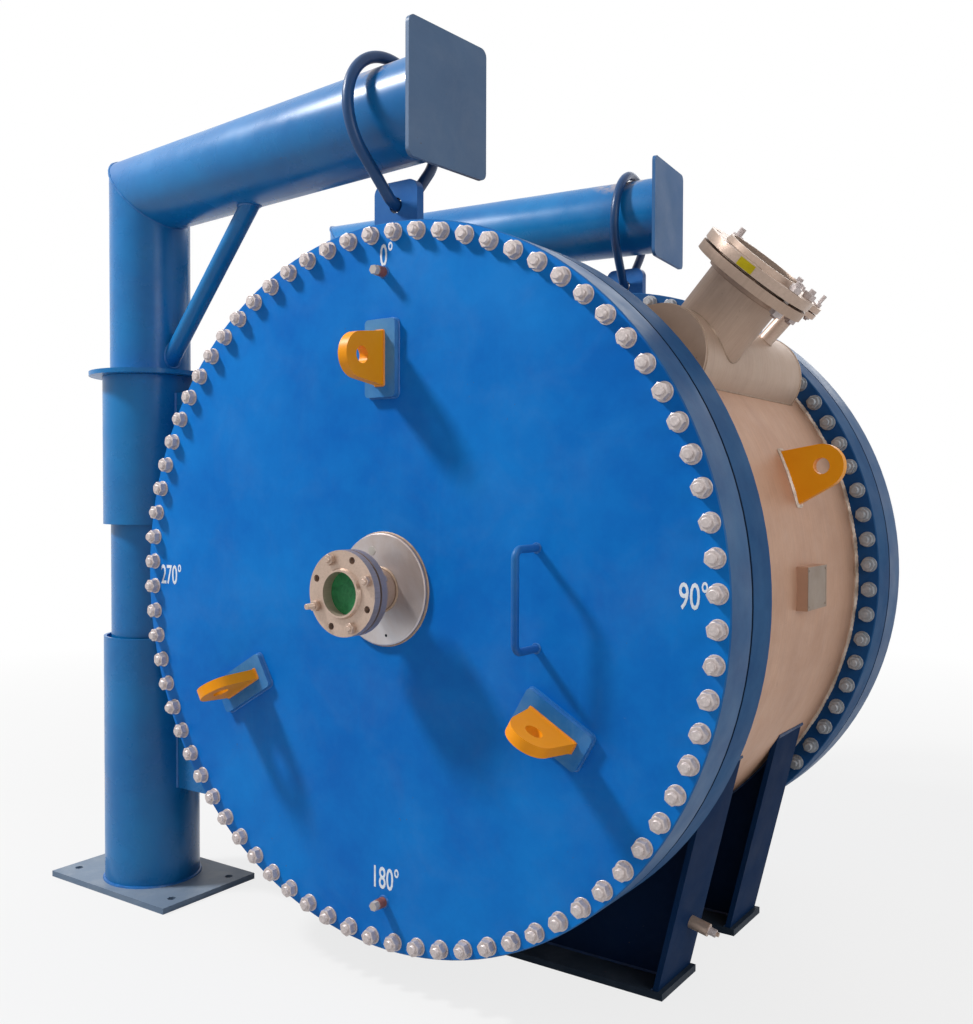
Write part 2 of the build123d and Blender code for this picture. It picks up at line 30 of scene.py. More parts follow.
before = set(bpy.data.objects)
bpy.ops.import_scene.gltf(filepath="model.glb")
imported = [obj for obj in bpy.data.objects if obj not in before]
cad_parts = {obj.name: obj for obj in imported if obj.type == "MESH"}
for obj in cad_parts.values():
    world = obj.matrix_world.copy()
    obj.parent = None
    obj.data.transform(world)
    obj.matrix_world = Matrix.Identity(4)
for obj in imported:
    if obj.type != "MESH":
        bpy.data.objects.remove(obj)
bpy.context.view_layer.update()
bpy.context.scene.view_settings.view_transform = "Standard"
random.seed(11)

# Main sizes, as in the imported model
MID_Y = 0.26
AXIS_Z = 1.113
RIM_RADIUS = 1.0
SHELL_RADIUS = 0.925
FRONT_FACE_Y, COVER_BACK_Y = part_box("front_cover")[0][1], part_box("front_cover")[1][1]
FLANGE_FACE_Y, FLANGE_BACK_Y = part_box("front_body_flange")[0][1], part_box("front_body_flange")[1][1]

# Cover nozzle, stubs, handle and the eye's foot
NOZZLE_PAD_RADIUS = 0.1545
NOZZLE_PAD_TOP = 0.014
NOZZLE_BEADS = (0.0585, 0.0580)
STUB_CIRCLE = 0.866
STUB_LENGTH = 0.030
STUB_BEAD_RADIUS = 0.015
HANDLE_X = 0.493
HANDLE_FEET_Z = (0.991, 1.241)
HANDLE_BEAD_RADIUS = 0.011
EYE_FOOT_HALF = (0.079, 0.014)

# Cover joint
STUD_CIRCLE = 0.970
STUD_COUNT = 76
STUD_ANGLES = [(k + 0.5) * 360 / STUD_COUNT for k in range(STUD_COUNT)]
NUT_FLATS = 0.038
NUT_HEIGHT = 0.021
WASHER_RADIUS = 0.0245
WASHER_THICKNESS = 0.003
STUD_RADIUS = 0.0122
STUD_REACH = 0.008
NUT_FACE_SHARE = 0.975
NUT_CHAMFER = math.radians(26)

# Pipe flanges: joint face and rims along the nozzle, length of a hub, bolt circle and sizes
COVER_JOINT = 0.144
COVER_HUB = 0.0333
COVER_BOLTS = {"circle": 0.09525, "stud": 0.0079, "flats": 0.0265, "nut": 0.0135}
COVER_RIMS = (COVER_JOINT - 0.0239, COVER_JOINT + 0.003 + 0.0239)
HEADER_JOINT = 1.200
HEADER_HUB = 0.0445
HEADER_FLANGE_RADIUS = 0.17145
HEADER_BOLTS = {"circle": 0.14925, "stud": 0.0095, "flats": 0.0318, "nut": 0.0165}
HEADER_RIMS = (HEADER_JOINT - 0.0286, HEADER_JOINT + 0.003 + 0.0286)
VENT_JOINT = 1.190
VENT_HUB = 0.0222
VENT_BOLTS = {"circle": 0.0492, "stud": 0.0063, "flats": 0.0212, "nut": 0.0105}
VENT_RIMS = (VENT_JOINT - 0.0175, VENT_JOINT + 0.002 + 0.0175)
# Stud ends past the inner nuts, and past the outer nuts by the bolt's angle
INNER_END = 0.006
COVER_ENDS = {22.5: 0.006, -67.5: 0.006, -157.5: 0.026, -247.5: 0.006}
HEADER_ENDS = {157.5: 0.022, 22.5: 0.011, 67.5: 0.010, 337.5: 0.013}
VENT_ENDS = {45: 0.026, 135: 0.006, 225: 0.006, 315: 0.006}

# Headers
HEADER_REACH = 0.902
HEADER_RADIUS = 0.1365
HEADER_ANGLE = math.radians(45)
NOZZLE_LEAN = math.radians(-3)
HEADER_FRONT = MID_Y - 0.372
HEADER_REAR = MID_Y + 0.404
NOZZLE_Y = MID_Y - 0.185
NOZZLE_RADIUS = 0.10955
VENT_Y = MID_Y + 0.180
VENT_RADIUS = 0.02415

# Davits
POST_X = -1.232
POST_Y = MID_Y - 0.563
ARM_Y = MID_Y - 0.677
ARM_Z = 2.425
PIPE_RADIUS = 0.1365
SLEEVE_RADIUS = 0.162
ARM_LENGTH = math.hypot(POST_X, ARM_Y - POST_Y) + 0.165
BRACE_FOOT = Vector((0.137, 0.0, 1.851))
BRACE_HEAD = Vector((0.562, 0.0, 2.292))
BRACE_RADIUS = 0.03015
COLLAR_TOP = 1.796

# Plates that tie the sleeves to the body flanges
TIE_SPANS = ((0.355, 0.800), (1.330, 1.720))
TIE_Y = MID_Y - 0.572
TIE_HALF_THICKNESS = 0.0125

# Saddles and the earthing boss
SIDE_HALF_WIDTH = 0.108
SADDLE_PLATE = 0.016
SADDLE_WRAP = math.radians(56)
FOOT_TOP = 0.020
SIDE_FOOT_X = 0.647
SIDE_LEAN = 0.24
BOSS_Y = 0.020
BOSS_Z = 0.182
BOSS_LENGTH = 0.056

# Lugs and their pads
LUG_ANGLES = (0, 120, 240)
LUG_CIRCLE = 0.630
LUG_FOOT_HALF = (0.015, 0.074)
PAD_HALF = (0.053, 0.106)
PAD_CORNER = 0.012
PAD_THICKNESS = 0.018
SHELL_LUG_ANGLE = math.radians(70.4)
SHELL_LUG_SPREAD = 0.084 / SHELL_RADIUS
SHELL_LUG_Y = 0.275
SHELL_LUG_HALF = 0.016

# Nameplate and painted figures
NAMEPLATE_HALF = (0.060, 0.083)
RIVET_INSET = 0.010
FIGURE_HEIGHT = 0.086
FIGURE_NARROWING = 0.62

# Light on the object, and the angle from which an edge is sharp
LOW_FILL = 0.17
HIGH_FILL = 0.58
SHARP_ANGLE = math.radians(24)


# Mesh helpers


def circle_points(radius, count, height=0.0):
    step = 2 * math.pi / count
    turns = [step * k for k in range(count)]
    return [Vector((radius * math.cos(t), radius * math.sin(t), height)) for t in turns]


def add_ring(bm, points, place):
    return [bm.verts.new(place @ p) for p in points]


def bridge(bm, lower, upper, material=0, closed=True):
    """Quads between two rings with the same number of points."""
    count = len(lower)
    for k in range(count if closed else count - 1):
        face = bm.faces.new((lower[k], lower[(k + 1) % count], upper[(k + 1) % count], upper[k]))
        face.material_index = material


def cap(bm, ring, material=0, flip=False):
    face = bm.faces.new(list(reversed(ring)) if flip else ring)
    face.material_index = material


def lathe(bm, profile, place, segments=16, material=0, close_ends=True):
    """Revolves (radius, height) pairs about the local Z axis."""
    rings = [add_ring(bm, circle_points(r, segments, z), place) for r, z in profile]
    for lower, upper in zip(rings, rings[1:]):
        bridge(bm, lower, upper, material)
    if close_ends:
        cap(bm, rings[0], material, flip=True)
        cap(bm, rings[-1], material)


def hex_radius(angle, flats):
    """Distance from the centre of a hexagon to its edge at an angle."""
    sector = math.radians(60)
    return flats / 2 / math.cos((angle + sector / 2) % sector - sector / 2)


def hexagon(bm, place, flats, height):
    """Hexagonal prism whose corners are chamfered by a cone, as on a nut."""
    steps = 24
    angles = [2 * math.pi * k / steps for k in range(steps)]
    face_radius = flats / 2 * NUT_FACE_SHARE
    slope = math.tan(NUT_CHAMFER)

    def ring(radii, heights):
        points = [Vector((r * math.cos(a), r * math.sin(a), z)) for r, a, z in zip(radii, angles, heights)]
        return add_ring(bm, points, place)

    corner = [hex_radius(a, flats) for a in angles]
    drop = [(r - face_radius) * slope for r in corner]
    bottom = ring([face_radius] * steps, [0.0] * steps)
    low = ring(corner, drop)
    high = ring(corner, [height - d for d in drop])
    top = ring([face_radius] * steps, [height] * steps)
    for lower, upper in ((bottom, low), (low, high), (high, top)):
        bridge(bm, lower, upper)
    cap(bm, bottom, flip=True)
    cap(bm, top)


def threaded_end(bm, place, radius, low, high):
    """Stud end with thread grooves and a chamfered tip."""
    pitch = 0.0035 if radius > 0.012 else 0.0022
    depth = radius * 0.09
    tip = radius * 0.18
    profile = []
    height = low
    while height < high - tip:
        profile.append((radius - depth, height))
        profile.append((radius, height + pitch / 2))
        height += pitch
    profile.append((radius - depth, high - tip / 2))
    profile.append((radius - tip, high))
    lathe(bm, profile, place)


def washer(bm, place, inner, outer, low, high):
    edge = (high - low) * 0.25
    profile = [(inner, low), (outer, low), (outer, high - edge), (outer - edge, high), (inner, high)]
    lathe(bm, profile, place, segments=28, close_ends=False)


def tube(bm, points, radii, closed, sides):
    """Round tube along a path, with a radius for each point."""
    count = len(points)
    tangents = []
    for k in range(count):
        after = points[(k + 1) % count] if closed or k + 1 < count else points[k]
        before = points[k - 1] if closed or k > 0 else points[k]
        tangents.append((after - before).normalized())
    normal = tangents[0].orthogonal().normalized()
    rings = []
    for point, tangent, radius in zip(points, tangents, radii):
        normal = (normal - tangent * normal.dot(tangent)).normalized()
        side = tangent.cross(normal)
        ring = []
        for k in range(sides):
            turn = 2 * math.pi * k / sides
            ring.append(bm.verts.new(point + (normal * math.cos(turn) + side * math.sin(turn)) * radius))
        rings.append(ring)
    for lower, upper in zip(rings, rings[1:]):
        bridge(bm, lower, upper)
    if closed:
        bridge_aligned(bm, rings[-1], rings[0])
    else:
        cap(bm, rings[0], flip=True)
        cap(bm, rings[-1])


def bridge_aligned(bm, last, first):
    """Closes a looped tube, turning the first ring to the nearest match of the last one."""
    count = len(last)
    shift = min(range(count), key=lambda s: (last[0].co - first[s].co).length)
    bridge(bm, last, [first[(k + shift) % count] for k in range(count)])


def resample(points, pitch, closed):
    """Points at an even spacing along a path."""
    path = points + [points[0]] if closed else points
    lengths = [(b - a).length for a, b in zip(path, path[1:])]
    total = sum(lengths)
    count = max(3, int(total / pitch))
    result = []
    span, done = 0, 0.0
    for k in range(count if closed else count + 1):
        target = total * k / count
        while span < len(lengths) - 1 and done + lengths[span] < target:
            done += lengths[span]
            span += 1
        share = (target - done) / lengths[span] if lengths[span] else 0.0
        result.append(path[span].lerp(path[span + 1], min(max(share, 0.0), 1.0)))
    return result


def weld(bm, points, radius, closed=False, uneven=0.04):
    """Weld bead along a path, rippled and a little uneven."""
    pitch = max(0.0035, radius * 0.75)
    path = resample(points, pitch, closed)
    radii = []
    drift = 0.0
    for k in range(len(path)):
        drift = 0.9 * drift + random.uniform(-uneven, uneven)
        ripple = 0.10 if k % 2 else -0.04
        radii.append(radius * (1 + ripple + drift))
    tube(bm, path, radii, closed, sides=6)


def ring_path(place, radius, height=0.0, count=72):
    return [place @ p for p in circle_points(radius, count, height)]


def line_path(*points):
    return [Vector(p) for p in points]


def rectangle(x, y, z):
    """Corners of a rectangle round the local Z axis, from half its sides."""
    return line_path((-x, -y, z), (x, -y, z), (x, y, z), (-x, y, z))


def hit_cylinder(origin, direction, centre, axis, radius):
    """First point where a line meets a cylinder."""
    across = direction - axis * direction.dot(axis)
    offset = (origin - centre) - axis * (origin - centre).dot(axis)
    a = across.dot(across)
    b = 2 * across.dot(offset)
    c = offset.dot(offset) - radius * radius
    root = math.sqrt(max(b * b - 4 * a * c, 0.0))
    return origin + direction * ((-b - root) / (2 * a))


def pipe_joint(start, direction, pipe_radius, centre, axis, radius):
    """Curve where a pipe meets a cylinder."""
    count = 72
    side = direction.orthogonal().normalized()
    up = direction.cross(side)
    curve = []
    for k in range(count):
        turn = 2 * math.pi * k / count
        origin = start + (side * math.cos(turn) + up * math.sin(turn)) * pipe_radius
        curve.append(hit_cylinder(origin, direction, centre, axis, radius))
    return curve


# Places on the object


def face_station(y, tilt_deg, angle_deg, radius):
    """Frame on a face square to the vessel's axis, at an angle from the vertical."""
    turn = Matrix.Rotation(math.radians(angle_deg), 4, "Y")
    place = Matrix.Translation((0, y, AXIS_Z)) @ turn @ Matrix.Translation((0, 0, radius))
    return place @ Matrix.Rotation(math.radians(tilt_deg), 4, "X")


def cover_station(angle_deg, radius):
    """Frame on the front cover's face: Z out of the face, Y away from the vessel's axis."""
    return face_station(FRONT_FACE_Y, 90, angle_deg, radius)


def flange_station(angle_deg, radius):
    """Frame on the back of the front body flange: Z away from the cover."""
    return face_station(FLANGE_BACK_Y, -90, angle_deg, radius)


def header_station(y):
    """Frame on the vessel's axis, with Z out through the right header."""
    return Matrix.Translation((0, y, AXIS_Z)) @ Matrix.Rotation(HEADER_ANGLE, 4, "Y")


def nozzle_station():
    """Frame of the header nozzle, which leans towards the vertical about the header's centre line."""
    to_header = Matrix.Translation((0, 0, HEADER_REACH))
    lean = to_header @ Matrix.Rotation(NOZZLE_LEAN, 4, "Y") @ to_header.inverted()
    return header_station(NOZZLE_Y) @ lean


def davit_place():
    yaw = math.atan2(ARM_Y - POST_Y, -POST_X)
    return Matrix.Translation((POST_X, POST_Y, 0)) @ Matrix.Rotation(yaw, 4, "Z")


def on_axis(y, radius, angle):
    """Point at an angle from the vertical on a circle about the vessel's axis."""
    return Vector((radius * math.sin(angle), y, AXIS_Z + radius * math.cos(angle)))


# Materials


def hex_colour(text):
    """Linear colour from an sRGB hex string."""
    values = [int(text[k:k + 2], 16) / 255 for k in (0, 2, 4)]
    linear = [v / 12.92 if v <= 0.04045 else ((v + 0.055) / 1.055) ** 2.4 for v in values]
    return (*linear, 1.0)


class Nodes:
    """A node tree under construction."""

    def __init__(self, tree):
        self.tree = tree

    def feed(self, socket, value):
        """Links an output to a socket or sets its value, where a text is a colour."""
        if isinstance(value, bpy.types.NodeSocket):
            self.tree.links.new(value, socket)
        else:
            socket.default_value = hex_colour(value) if isinstance(value, str) else value

    def levels(self, value, low, high, out_low=0.0, out_high=1.0):
        """Maps a range to another one and clamps it."""
        node = self.tree.nodes.new("ShaderNodeMapRange")
        self.feed(node.inputs["Value"], value)
        self.feed(node.inputs["From Min"], low)
        self.feed(node.inputs["From Max"], high)
        self.feed(node.inputs["To Min"], out_low)
        self.feed(node.inputs["To Max"], out_high)
        return node.outputs["Result"]

    def calc(self, operation, a, b=0.0):
        node = self.tree.nodes.new("ShaderNodeMath")
        node.operation = operation
        self.feed(node.inputs[0], a)
        self.feed(node.inputs[1], b)
        return node.outputs["Value"]

    def component(self, vector, axis):
        node = self.tree.nodes.new("ShaderNodeSeparateXYZ")
        self.tree.links.new(vector, node.inputs[0])
        return node.outputs[axis]

    def seen(self):
        """1 for rays from the camera, reflections and clear surfaces, 0 for light on the object."""
        rays = self.tree.nodes.new("ShaderNodeLightPath")
        direct = self.calc("MAXIMUM", rays.outputs["Is Camera Ray"], rays.outputs["Is Glossy Ray"])
        return self.calc("MAXIMUM", direct, rays.outputs["Is Transmission Ray"])


class Surface(Nodes):
    """A node material under construction."""

    def __init__(self, name):
        self.material = bpy.data.materials.new(name)
        self.material.use_nodes = True
        super().__init__(self.material.node_tree)
        self.shader = self.tree.nodes["Principled BSDF"]
        self.point = self.tree.nodes.new("ShaderNodeTexCoord").outputs["Object"]

    def stretched(self, scale):
        node = self.tree.nodes.new("ShaderNodeMapping")
        node.inputs["Scale"].default_value = scale
        self.tree.links.new(self.point, node.inputs["Vector"])
        return node.outputs["Vector"]

    def noise(self, scale, detail, roughness=0.55, vector=None, distortion=0.0):
        node = self.tree.nodes.new("ShaderNodeTexNoise")
        self.tree.links.new(vector or self.point, node.inputs["Vector"])
        node.inputs["Scale"].default_value = scale
        node.inputs["Detail"].default_value = detail
        node.inputs["Roughness"].default_value = roughness
        node.inputs["Distortion"].default_value = distortion
        return node.outputs["Fac"]

    def cells(self, scale):
        node = self.tree.nodes.new("ShaderNodeTexVoronoi")
        self.tree.links.new(self.point, node.inputs["Vector"])
        node.inputs["Scale"].default_value = scale
        return node.outputs["Distance"]

    def blend(self, share, first, second):
        node = self.tree.nodes.new("ShaderNodeMix")
        node.data_type = "RGBA"
        self.feed(node.inputs["Factor"], share)
        self.feed(node.inputs[6], first)
        self.feed(node.inputs[7], second)
        return node.outputs[2]

    def upward(self):
        """How far the surface faces up, from 0 to 1."""
        geometry = self.tree.nodes.new("ShaderNodeNewGeometry")
        return self.levels(self.component(geometry.outputs["Normal"], "Z"), 0.1, 1.0)

    def from_middle(self):
        """Distance of the surface from the vessel's mid-plane, which both ends share."""
        return self.calc("ABSOLUTE", self.calc("SUBTRACT", self.component(self.point, "Y"), MID_Y))

    def facing_ends(self):
        """1 on faces square to the vessel's axis, 0 on rims."""
        places = self.tree.nodes.new("ShaderNodeTexCoord")
        facing = self.calc("ABSOLUTE", self.component(places.outputs["Normal"], "Y"))
        return self.levels(facing, 0.6, 0.9)

    def joint_line(self):
        """1 within a few millimetres of the faces of the cover joints."""
        joint = MID_Y - (COVER_BACK_Y + FLANGE_FACE_Y) / 2
        away = self.calc("ABSOLUTE", self.calc("SUBTRACT", self.from_middle(), joint))
        reach = (FLANGE_FACE_Y - COVER_BACK_Y) / 2
        return self.levels(away, reach + 0.0035, reach + 0.002)

    def near(self, place, reach):
        """1 at a point, falling to 0 at a distance from it."""
        node = self.tree.nodes.new("ShaderNodeVectorMath")
        node.operation = "DISTANCE"
        self.tree.links.new(self.point, node.inputs[0])
        node.inputs[1].default_value = place
        return self.levels(node.outputs["Value"], reach, 0.0)

    def relief(self, height, strength, distance, below=None):
        node = self.tree.nodes.new("ShaderNodeBump")
        node.inputs["Strength"].default_value = strength
        node.inputs["Distance"].default_value = distance
        self.tree.links.new(height, node.inputs["Height"])
        if below is not None:
            self.tree.links.new(below, node.inputs["Normal"])
        return node.outputs["Normal"]

    def finish(self, colour, roughness, normal=None, metallic=0.0, specular=0.5):
        self.feed(self.shader.inputs["Base Color"], colour)
        self.feed(self.shader.inputs["Roughness"], roughness)
        self.feed(self.shader.inputs["Metallic"], metallic)
        self.shader.inputs["Specular IOR Level"].default_value = specular
        if normal is not None:
            self.tree.links.new(normal, self.shader.inputs["Normal"])
        return self.material


def paint(
    name,
    colour,
    faded,
    dusty,
    dust="8c98a8",
    specular=0.18,
    worn_spots=(),
    rim=None,
    gloss=(0.34, 0.52),
):
    """Brushed enamel with mottling, dust, run marks, scuffs and sparse chips, and painted shade on the rims
    where rim colours are given.
    """
    surface = Surface(name)
    mottle = surface.levels(surface.noise(1.7, 7.0, 0.68), 0.38, 0.64)
    base = surface.blend(mottle, colour, faded)
    cloud = surface.levels(surface.noise(5.0, 9.0, 0.68, distortion=0.6), 0.48, 0.78, 0.0, dusty)
    settled = surface.calc("MULTIPLY", surface.upward(), 0.45 * dusty)
    dirt = surface.calc("MINIMUM", surface.calc("ADD", cloud, settled), 0.8)
    base = surface.blend(dirt, base, dust)
    streak_vector = surface.stretched((14.0, 14.0, 0.9))
    streak = surface.levels(surface.noise(2.2, 6.0, 0.6, streak_vector), 0.60, 0.80, 0.0, 0.30)
    base = surface.blend(streak, base, faded)
    brushed = surface.noise(9.0, 8.0, 0.75, surface.stretched((1.0, 1.0, 6.0)))
    scuff = surface.levels(brushed, 0.69, 0.74, 0.0, 0.5)
    base = surface.blend(scuff, base, "7f93ad")
    chip_zone = surface.levels(surface.noise(3.1, 3.0), 0.60, 0.68)
    chip = surface.levels(surface.noise(95.0, 3.0, 0.6), 0.70, 0.72)
    chips = surface.calc("MULTIPLY", chip, chip_zone)
    base = surface.blend(chips, base, "5c4a40")
    for place, reach in worn_spots:
        patches = surface.levels(surface.noise(26.0, 6.0, 0.7), 0.30, 0.55)
        rub = surface.calc("MULTIPLY", surface.near(place, reach), patches)
        worn = surface.levels(rub, 0.18, 0.42, 0.0, 0.8)
        base = surface.blend(worn, base, "a99c9b")
    # Painted shade: the rims take the rim colours, a duller grey-blue that stands partly for greyer paint and
    # partly for the shade on the rims.
    if rim:
        rim_shade_mottle = surface.levels(surface.noise(6.0, 7.0, 0.65), 0.3, 0.7)
        edge = surface.blend(rim_shade_mottle, rim[0], rim[1])
        base = surface.blend(surface.facing_ends(), edge, base)
        base = surface.blend(surface.joint_line(), base, "0c1626")
    shine = surface.levels(surface.noise(7.0, 6.0), 0.3, 0.7, gloss[0], gloss[1])
    peel = surface.relief(surface.noise(420.0, 2.0), 0.10, 0.0006)
    waves = surface.relief(surface.noise(9.0, 3.0), 0.10, 0.004, below=peel)
    return surface.finish(base, shine, waves, specular=specular)


def stub_finish(name):
    """Rusty stub with a bright hexagon plug at its end."""
    surface = Surface(name)
    grime = surface.levels(surface.noise(60.0, 5.0), 0.35, 0.7)
    base = surface.blend(grime, "965a50", "6e4640")
    end = MID_Y - FRONT_FACE_Y + STUB_LENGTH
    on_plug = surface.levels(surface.from_middle(), end - 0.0005, end + 0.0005)
    base = surface.blend(on_plug, base, "b4aca8")
    return surface.finish(base, 0.55, surface.relief(grime, 0.2, 0.0005), specular=0.3)


def stainless(name, colour, dark, roughness, grain=(1.0, 60.0, 1.0), metallic=0.82, pad=None):
    """Pickled stainless plate: rolled grain, cloudy stains and handling marks."""
    surface = Surface(name)
    cloud = surface.levels(surface.noise(2.6, 8.0, 0.65, distortion=0.4), 0.36, 0.70)
    base = surface.blend(cloud, colour, dark)
    fine = surface.noise(7.0, 4.0, 0.6, surface.stretched(grain))
    base = surface.blend(surface.levels(fine, 0.4, 0.75, 0.0, 0.22), base, "6f6156")
    stain = surface.levels(surface.noise(11.0, 9.0, 0.72, distortion=1.2), 0.62, 0.74, 0.0, 0.38)
    base = surface.blend(stain, base, "8a6a50")
    speck = surface.levels(surface.noise(130.0, 3.0), 0.70, 0.74, 0.0, 0.35)
    base = surface.blend(speck, base, "4f4038")
    if pad:
        pad_top = MID_Y - FRONT_FACE_Y + NOZZLE_PAD_TOP + 0.0005
        off_pad = surface.levels(surface.from_middle(), pad_top, pad_top + 0.001)
        base = surface.blend(off_pad, surface.blend(cloud, pad, base), base)
    gloss = surface.levels(surface.noise(16.0, 6.0, 0.65), 0.3, 0.7, roughness[0], roughness[1])
    line = surface.relief(fine, 0.06, 0.0006)
    dents = surface.relief(surface.noise(6.0, 2.0), 0.12, 0.004, below=line)
    return surface.finish(base, gloss, dents, metallic=metallic)


def galvanised(name, colour, dark):
    """Zinc-coated fasteners, mottled by crystals and a little white bloom."""
    surface = Surface(name)
    crystal = surface.levels(surface.cells(160.0), 0.1, 0.7, 0.0, 0.6)
    base = surface.blend(crystal, colour, dark)
    bloom = surface.levels(surface.noise(48.0, 5.0), 0.5, 0.75, 0.0, 0.35)
    base = surface.blend(bloom, base, "d8cfcc")
    gloss = surface.levels(surface.noise(70.0, 3.0), 0.3, 0.7, 0.38, 0.6)
    bumps = surface.relief(surface.noise(300.0, 3.0), 0.15, 0.0004)
    return surface.finish(base, gloss, bumps, metallic=0.4)


def weld_metal(name, colour, dark, metallic, rough):
    """Weld bead with heat tint and spatter."""
    surface = Surface(name)
    tint = surface.levels(surface.noise(30.0, 5.0), 0.35, 0.68)
    base = surface.blend(tint, colour, dark)
    gloss = surface.levels(surface.noise(80.0, 4.0), 0.3, 0.7, rough[0], rough[1])
    bumps = surface.relief(surface.noise(520.0, 3.0), 0.3, 0.0008)
    return surface.finish(base, gloss, bumps, metallic=metallic)


def sheet_material(name, colour, dark, scale=40.0, roughness=(0.4, 0.7), specular=0.3):
    """Gasket or cover sheet with creases."""
    surface = Surface(name)
    crease = surface.noise(scale, 7.0, 0.62, distortion=1.4)
    base = surface.blend(surface.levels(crease, 0.35, 0.7), colour, dark)
    gloss = surface.levels(surface.noise(scale / 2, 4.0), 0.3, 0.7, roughness[0], roughness[1])
    return surface.finish(base, gloss, surface.relief(crease, 0.5, 0.002), specular=specular)


# Roughness ranges of the paints
SHINY = (0.22, 0.36)
DULL = (0.5, 0.65)
MATT = (0.6, 0.75)
# Worn places where the hanger loops rub: position and reach
ARM_WEAR = [((0.0, ARM_Y, ARM_Z + PIPE_RADIUS), 0.17)]
ARM_WEAR += [((0.0, 2 * MID_Y - ARM_Y, ARM_Z + PIPE_RADIUS), 0.17)]
MATERIALS = {
    # The cover's rim colours are darker than its face: painted shade on the rim, with some greyer paint.
    "cover_blue": paint("cover_blue", "0465bb", "0e7acd", dusty=0.06, specular=0.1, rim=("204c7c", "386490")),
    "trim_blue": paint("trim_blue", "0d569f", "2c6fae", dusty=0.12),
    # Body flanges: a dark grey-blue that is partly greyer, dusty paint and partly painted shade on the flange
    # rims.
    "shaded_rim_blue": paint(
        "shaded_rim_blue", "164478", "245284", dusty=0.06, specular=0.05, rim=("1e4876", "305c88"), gloss=DULL
    ),
    # Arm end plates: a dull grey-blue, partly dust and partly painted shade on plates that face away from the
    # key light; the rear plate has its own shaded copy.
    "dusty_shaded_end_plate_blue": paint("dusty_shaded_end_plate_blue", "50698a", "5a7494", dusty=0.2),
    "shaded_rear_plate_blue": paint("shaded_rear_plate_blue", "34608e", "40699a", dusty=0.06, specular=0.08),
    # Lug pads: mottled towards a light blue, partly scuffed paint and partly painted highlight.
    "scuffed_highlit_pad_blue": paint("scuffed_highlit_pad_blue", "1e6aae", "5c94c2", dusty=0.18),
    "davit_blue": paint(
        "davit_blue", "0560a0", "0e72b0", dusty=0.04, specular=0.3, worn_spots=ARM_WEAR, gloss=SHINY
    ),
    "loop_navy": paint("loop_navy", "123a66", "1a4a7c", dusty=0.06, specular=0.3, gloss=(0.28, 0.42)),
    # Saddle paints: the saddles' own dark navy and grey, written darker still for the shade under the vessel,
    # the webs darkest: painted shade.
    "shaded_saddle_navy": paint("shaded_saddle_navy", "0a2548", "102e54", dusty=0.02, specular=0.04, gloss=MATT),
    "shaded_web_navy": paint("shaded_web_navy", "0a1c38", "0e2444", dusty=0.02, specular=0.04, gloss=MATT),
    "shaded_foot_grey": paint("shaded_foot_grey", "1a2634", "24303e", dusty=0.1, specular=0.05),
    "lug_orange": paint("lug_orange", "f0930c", "f4a216", dust="b8ab95", dusty=0.02),
    "stub_rust": stub_finish("stub_rust"),
    "primer": paint("primer", "5a6e86", "6c7f95", dust="9aa0a4", dusty=0.5),
    "shell_steel": stainless("shell_steel", "c9a086", "b78e75", roughness=(0.48, 0.62), metallic=0.35),
    "header_steel": stainless("header_steel", "bfa694", "ae9583", roughness=(0.46, 0.6), metallic=0.35),
    "turned_steel": stainless(
        "turned_steel", "c6afa0", "ae9888", roughness=(0.36, 0.5), grain=(30.0, 2.0, 30.0), metallic=0.6
    ),
    "nozzle_steel": stainless(
        "nozzle_steel", "bda699", "a38d7f", roughness=(0.32, 0.46), metallic=0.6, pad="c0bfc4"
    ),
    "name_steel": stainless("name_steel", "92806f", "7d6c5f", roughness=(0.4, 0.55), metallic=0.5),
    "plate_steel": stainless("plate_steel", "b8b2ac", "9f9a95", roughness=(0.3, 0.45)),
    "galvanised": galvanised("galvanised", "cfc4c2", "b3a9a7"),
    "galvanised_dull": galvanised("galvanised_dull", "9ca0a5", "868b92"),
    "stainless_weld": weld_metal("stainless_weld", "a8917e", "8c7664", metallic=0.4, rough=(0.45, 0.6)),
    "bright_weld": weld_metal("bright_weld", "e2d3c6", "b09c8a", metallic=0.2, rough=(0.45, 0.65)),
    "painted_weld": weld_metal("painted_weld", "1b6cb2", "115a9e", metallic=0.0, rough=(0.3, 0.45)),
    # Painted highlight: the davit beads are the davit paint mottled towards a lighter blue, for the light the
    # rough bead catches.
    "highlit_davit_weld": weld_metal("highlit_davit_weld", "2674b4", "10609f", metallic=0.0, rough=(0.25, 0.4)),
    "navy_weld": weld_metal("navy_weld", "1a3a64", "142c4c", metallic=0.0, rough=(0.4, 0.6)),
    "orange_weld": weld_metal("orange_weld", "d9860f", "c0740c", metallic=0.0, rough=(0.35, 0.5)),
    "green_sheet": sheet_material("green_sheet", "2e8a52", "17603a"),
    "gasket": sheet_material("gasket", "232427", "15161a", scale=90.0, roughness=(0.7, 0.9)),
    "mark_white": sheet_material("mark_white", "e9eef3", "cfd9e4", scale=60.0, roughness=(0.5, 0.7)),
    "label_yellow": sheet_material("label_yellow", "c9b400", "b59f00", scale=25.0, roughness=(0.35, 0.5)),
    # Dark discs drawn inside holes: painted shade.
    "hole_shade": sheet_material(
        "hole_shade", "131820", "1c2430", scale=80.0, roughness=(0.7, 0.9), specular=0.1
    ),
}

